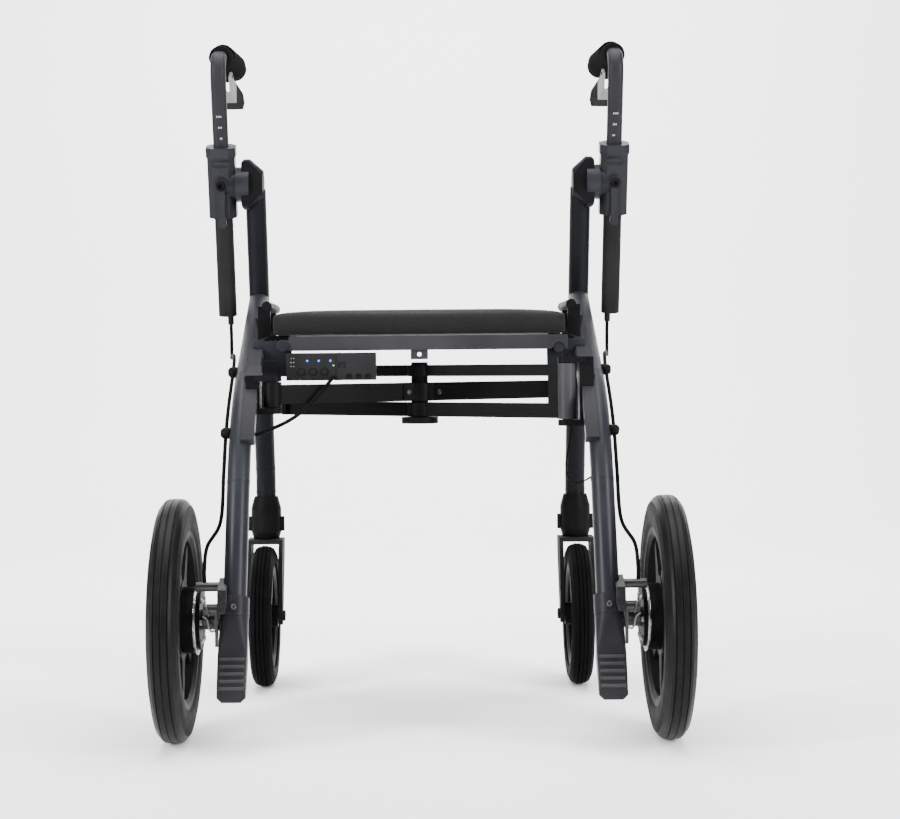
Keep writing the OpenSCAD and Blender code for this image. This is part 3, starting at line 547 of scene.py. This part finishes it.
# Brake cables and power cable; below the sleeves, the brake cables hang in a wider loop than the CAD's
for side, k in SIDES:
    top = on_handle(1, -0.004, 0, -0.2134)
    bx, bz = BEND
    route = [
        top,
        # a hanging loop below the sleeve, wide enough for the cable to bend
        top + Vector((0, 0.0037, -0.0105)),
        top + Vector((-0.0001, 0.0043, -0.0225)),
        top + Vector((-0.0010, -0.0041, -0.0408)),
        top + Vector((-0.0030, -0.0239, -0.0495)),
        top + Vector((-0.0060, -0.0549, -0.0500)),
        Vector((CABLE_X + 0.0115, 0.090, 0.5020)),
        Vector((CABLE_X + 0.0040, 0.033, 0.4990)),
        Vector((CABLE_X, rear_y(CLIP_Z) - MID, CLIP_Z)),
        Vector((CABLE_X, bx + 0.074 - MID, bz + 0.096)),
        Vector((CABLE_X, bx + 0.034 - MID, bz + 0.056)),
        Vector((CABLE_X, bx + 0.006 - MID, bz + 0.010)),
        Vector((CABLE_X + 0.002, bx - 0.018 - MID, bz - 0.050)),
        Vector((DRUM_IN - 0.010, -0.0265 - MID, REAR_R + 0.098)),
        Vector((STOP_X, STOP_Y, REAR_R + 0.070)),
        Vector((STOP_X, STOP_Y, REAR_R + 0.053)),
    ]
    path = spline([Vector((k * p.x, p.y, p.z)) for p in route], 8)
    cable = tube_mesh(side + "_brake_cord", path, CABLE_D / 2, "cable")
    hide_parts(side + "_brake_cable")
    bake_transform(cable)

power = [
    Vector((-0.11828, BOX_Y, 0.470)),
    Vector((-0.12028, 0.128 - MID, 0.468)),
    Vector((-0.13028, 0.112 - MID, 0.455)),
    Vector((-0.15028, 0.098 - MID, 0.432)),
    Vector((-0.17428, 0.074 - MID, 0.414)),
    Vector((-0.204, 0.054105 - MID, 0.400195)),
    Vector((-0.2227, 0.047105 - MID, 0.394195)),
]
path = spline(power, 8)
lead = tube_mesh("power_lead", path, CABLE_D / 2, "cable")
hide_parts("power_cable")
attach(lead, "left_frame")

# thin wire that hangs from the right brace bracket to the rear tube
path = spline([
    Vector((0.203, -0.095, 0.4029)), Vector((0.2025, -0.100, 0.392)), Vector((0.196, -0.118, 0.365)),
    Vector((0.193, -0.138, 0.343)), Vector((0.200, -0.152, 0.331)), Vector((0.212, -0.160, 0.332)),
    Vector((0.2232, -0.164, 0.338)),
], 8)
signal = tube_mesh("signal_wire", path, SIGNAL_D / 2, "cable", 8)
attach(signal, "right_frame")


# Cushion: the CAD slab, inflated a little as cloth
CLOTH_FRAMES = 20


def inflated(name, source, shrink, pressure, cap, floor_z):
    """A copy of a solid, swollen as cloth by at most cap and kept above floor_z."""
    copy = bpy.data.objects.new(name, source.data.copy())
    scene.collection.objects.link(copy)
    middle = sum((v.co for v in copy.data.vertices), Vector()) / len(copy.data.vertices)
    for v in copy.data.vertices:
        v.co.x = middle.x + (v.co.x - middle.x) * shrink
        v.co.y = middle.y + (v.co.y - middle.y) * shrink
    remesh = copy.modifiers.new("remesh", "REMESH")
    remesh.mode = "VOXEL"
    remesh.voxel_size = 0.005
    graph = bpy.context.evaluated_depsgraph_get()
    graph.update()
    mesh = bpy.data.meshes.new_from_object(copy.evaluated_get(graph))
    copy.modifiers.clear()
    copy.data = mesh
    rest = [v.co.copy() for v in mesh.vertices]
    cloth = copy.modifiers.new("cloth", "CLOTH")
    cloth.settings.quality = 5
    cloth.settings.mass = 0.3
    cloth.settings.tension_stiffness = 25
    cloth.settings.compression_stiffness = 25
    cloth.settings.bending_stiffness = 2.0
    cloth.settings.use_pressure = True
    cloth.settings.uniform_pressure_force = pressure
    cloth.settings.effector_weights.gravity = 0.0
    for f in range(1, CLOTH_FRAMES + 1):
        scene.frame_set(f)
    graph = bpy.context.evaluated_depsgraph_get()
    swollen = bpy.data.meshes.new_from_object(copy.evaluated_get(graph))
    copy.modifiers.clear()
    for v, r in zip(swollen.vertices, rest):
        d = v.co - r
        if d.length > cap:
            v.co = r + d * (cap / d.length)
    copy.data = swollen
    scene.frame_set(1)
    for v in copy.data.vertices:
        v.co.z = max(v.co.z, floor_z)
        v.co.x = max(-CUSHION_HALF, min(CUSHION_HALF, v.co.x))
    return copy


seat = inflated(
    "cushion", nodes["seat_cushion"], shrink=0.999, pressure=4.0, cap=0.0022, floor_z=CUSHION_FLOOR,
)
soften = seat.modifiers.new("soften", "SUBSURF")
soften.levels = 1
soften.render_levels = 1
graph = bpy.context.evaluated_depsgraph_get()
seat.data = bpy.data.meshes.new_from_object(seat.evaluated_get(graph))
seat.modifiers.clear()
seat.data.materials.clear()
seat.data.materials.append(MAT["fabric"])
for p in seat.data.polygons:
    p.use_smooth = True
    p.material_index = 0
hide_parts("seat_cushion")
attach(seat, "left_frame")
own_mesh(seat)


# Details on each side
for side, k in SIDES:
    body = side + "_frame"
    # clips that hold the cable to the rear tube
    bm = bmesh.new()
    for z in (0.478, 0.398):
        y = rear_y(z) if z > JOIN.y else bend_y(z)
        turned(bm, Vector((k * (FRAME_X + TUBE_R - 0.001), y - MID, z)), (k, 0, 0), [
            (0.0075, 0), (0.0078, 0.004), (0.007, 0.010), (0.0045, 0.0125), (0.001, 0.013),
        ])
    clips = mesh_object(side + "_cable_clips", bm, "plastic")
    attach(clips, body)
    # screw through the pedal's collar, seen from behind
    bm = bmesh.new()
    out = Vector((0, -math.cos(REAR_LEAN), math.sin(REAR_LEAN)))
    along = Vector((0, math.sin(REAR_LEAN), math.cos(REAR_LEAN)))
    collar = Vector((k * FRAME_X, PEDAL_Y, REAR_R + 0.020))
    screw_head(bm, collar + 0.0186 * out - 0.002 * along, out, 0.0042)
    screws = mesh_object(side + "_pedal_screw", bm, "dark_steel")
    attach(screws, body)
    # inner wire and its clamp between the cable stop and the brake arm
    x = k * STOP_X
    path = spline([
        Vector((x, STOP_Y, REAR_R + 0.052)),
        Vector((x, STOP_Y - 0.0005, REAR_R + 0.038)),
        Vector((x - k * 0.002, STOP_Y - 0.006, REAR_R + 0.026)),
        Vector((x - k * 0.006, STOP_Y - 0.0085, REAR_R + 0.010)),
    ])
    wire = tube_mesh(side + "_brake_wire", path, 0.0008, "steel", 8)
    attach(wire, body)
    # motor leads from the hub to the plate
    for i in range(2):
        y = -0.004 * i - MID
        path = spline([
            Vector((k * (DRUM_IN - 0.002), y - 0.012, REAR_R + 0.006)),
            Vector((k * (DRUM_IN - 0.009), y - 0.020, REAR_R + 0.002)),
            Vector((k * (DRUM_IN - 0.013), y - 0.020, REAR_R - 0.012)),
            Vector((k * (DRUM_IN - 0.024), y - 0.010, REAR_R - 0.010)),
        ])
        lead = tube_mesh(f"{side}_motor_lead_{i + 1}", path, 0.0012, "white" if i else "cable", 8)
        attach(lead, body)
    # height marks on the handle tube's rear face
    bm = bmesh.new()
    for i, z in enumerate((0.070, 0.086, 0.102)):
        for j in range(2 + i):
            w = -0.003 + 0.0020 * j
            corners = [(w, z - 0.0012), (w + 0.0009, z - 0.0012), (w + 0.0009, z + 0.0012), (w, z + 0.0012)]
            front = [bm.verts.new(on_handle(k, a, -0.00815, b)) for a, b in corners]
            back = [bm.verts.new(on_handle(k, a, -0.0079, b)) for a, b in corners]
            bm.faces.new(front)
            bm.faces.new(list(reversed(back)))
            for a in range(4):
                b = (a + 1) % 4
                bm.faces.new((front[a], back[a], back[b], front[b]))
    bmesh.ops.recalc_face_normals(bm, faces=bm.faces)
    marks = mesh_object(side + "_height_marks", bm, "white", smooth=False)
    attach(marks, side + "_handle")
    # bolt head on the quick release
    bm = bmesh.new()
    back = Vector((0, -math.cos(LEAN), -math.sin(LEAN)))
    screw_head(bm, on_handle(k, 0, -0.0294, 0.005), back, 0.0075)
    knob = mesh_object(side + "_release_bolt", bm, "plastic")
    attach(knob, side + "_quick_lever")


# Screws through the hub plates of the brace's middle bar
bm = bmesh.new()
turn = math.atan2(0.281, 0.396)
face = Vector((math.sin(turn), -math.cos(turn), 0))
for s in (-1, 1):
    run = Vector((math.cos(turn), math.sin(turn), 0)) * s * 0.026
    screw_head(bm, Vector((0, 0.2255 - MID, 0.448)) + run + 0.0104 * face, face, 0.0042)
hub_screws = mesh_object("hub_plate_screws", bm, "dark_steel")
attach(hub_screws, "single_link_body")


# Lights and marks on the control box
BACKWARD = (0, -1, 0)
for i, x in enumerate((-0.155, -0.139, -0.123)):
    bm = bmesh.new()
    turned(bm, Vector((x, BOX_Y + 0.0009, 0.493)), BACKWARD, [
        (0.0017, 0), (0.0017, 0.0006), (0.0011, 0.0012), (0.0003, 0.0014),
    ], 20)
    led = mesh_object(f"led_{i + 1}", bm, "led")
    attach(led, "left_frame")
bm = bmesh.new()
for z, w in ((0.4965, 0.002), (0.491, 0.0024), (0.4855, 0.002)):
    for dx in (0.0, 0.0035):
        turned(bm, Vector((-0.177 + dx, BOX_Y - 0.0001, z)), BACKWARD, [
            (w / 2.4, 0), (w / 2.6, 0.0003), (w / 4, 0.0004),
        ], 12)
icons = mesh_object("panel_marks", bm, "faint")
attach(icons, "left_frame")
bm = bmesh.new()
turned(bm, Vector((-0.1185, BOX_Y - 0.0001, 0.4865)), BACKWARD, [
    (0.0012, 0), (0.0012, 0.0004), (0.0007, 0.0007),
], 16)
lamp = mesh_object("charge_lamp", bm, "led_green")
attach(lamp, "left_frame")


# Floor that sweeps up into a backdrop, and light
FLOOR_W = 12.0
FLOOR_STEPS = 28
SWEEP_Y = 2.2
SWEEP_R = 1.6
SWEEP_STEPS = 10
bm = bmesh.new()
depth = [(-4.0, 0.0), (SWEEP_Y, 0.0)]
for i in range(1, SWEEP_STEPS + 1):
    a = i * math.pi / 2 / SWEEP_STEPS
    depth.append((SWEEP_Y + SWEEP_R * math.sin(a), SWEEP_R * (1 - math.cos(a))))
depth.append((SWEEP_Y + SWEEP_R, 5.0))
rows = []
for y, z in depth:
    rows.append([bm.verts.new((FLOOR_W * (i / FLOOR_STEPS - 0.5), y, z)) for i in range(FLOOR_STEPS + 1)])
for a, b in zip(rows, rows[1:]):
    for i in range(FLOOR_STEPS):
        bm.faces.new((a[i], a[i + 1], b[i + 1], b[i]))
MAT["floor"] = surface(
    "pale_floor", (0.93, 0.93, 0.93), 0.8, vary=0.01, blotch=2.0, grain=300, strength=0.03, edge=0.0,
)
floor = mesh_object("floor", bm, "floor")
floor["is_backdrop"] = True

world = bpy.data.worlds.new("studio")
world.use_nodes = True
world.node_tree.nodes["Background"].inputs["Color"].default_value = (1, 1, 1, 1)
world.node_tree.nodes["Background"].inputs["Strength"].default_value = 0.45
scene.world = world


def softbox(name, place, target, size, power):
    """A rectangular area light aimed at a target."""
    data = bpy.data.lights.new(name, "AREA")
    data.shape = "RECTANGLE"
    data.size, data.size_y = size
    data.energy = power
    obj = bpy.data.objects.new(name, data)
    obj.location = place
    obj.rotation_euler = (Vector(target) - Vector(place)).to_track_quat("-Z", "Y").to_euler()
    scene.collection.objects.link(obj)


softbox("top", (0.0, -0.2, 2.8), (0, 0, 0.4), (2.6, 2.2), 150)
softbox("left", (-2.2, -1.7, 1.2), (0, 0, 0.5), (0.5, 2.0), 150)
softbox("right", (2.2, -1.7, 1.2), (0, 0, 0.5), (0.5, 2.0), 140)
softbox("backdrop", (0.0, 1.0, 2.6), (0, 3.6, 1.0), (3.5, 0.8), 300)

corners = {"before": first_bounds, "after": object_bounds()}
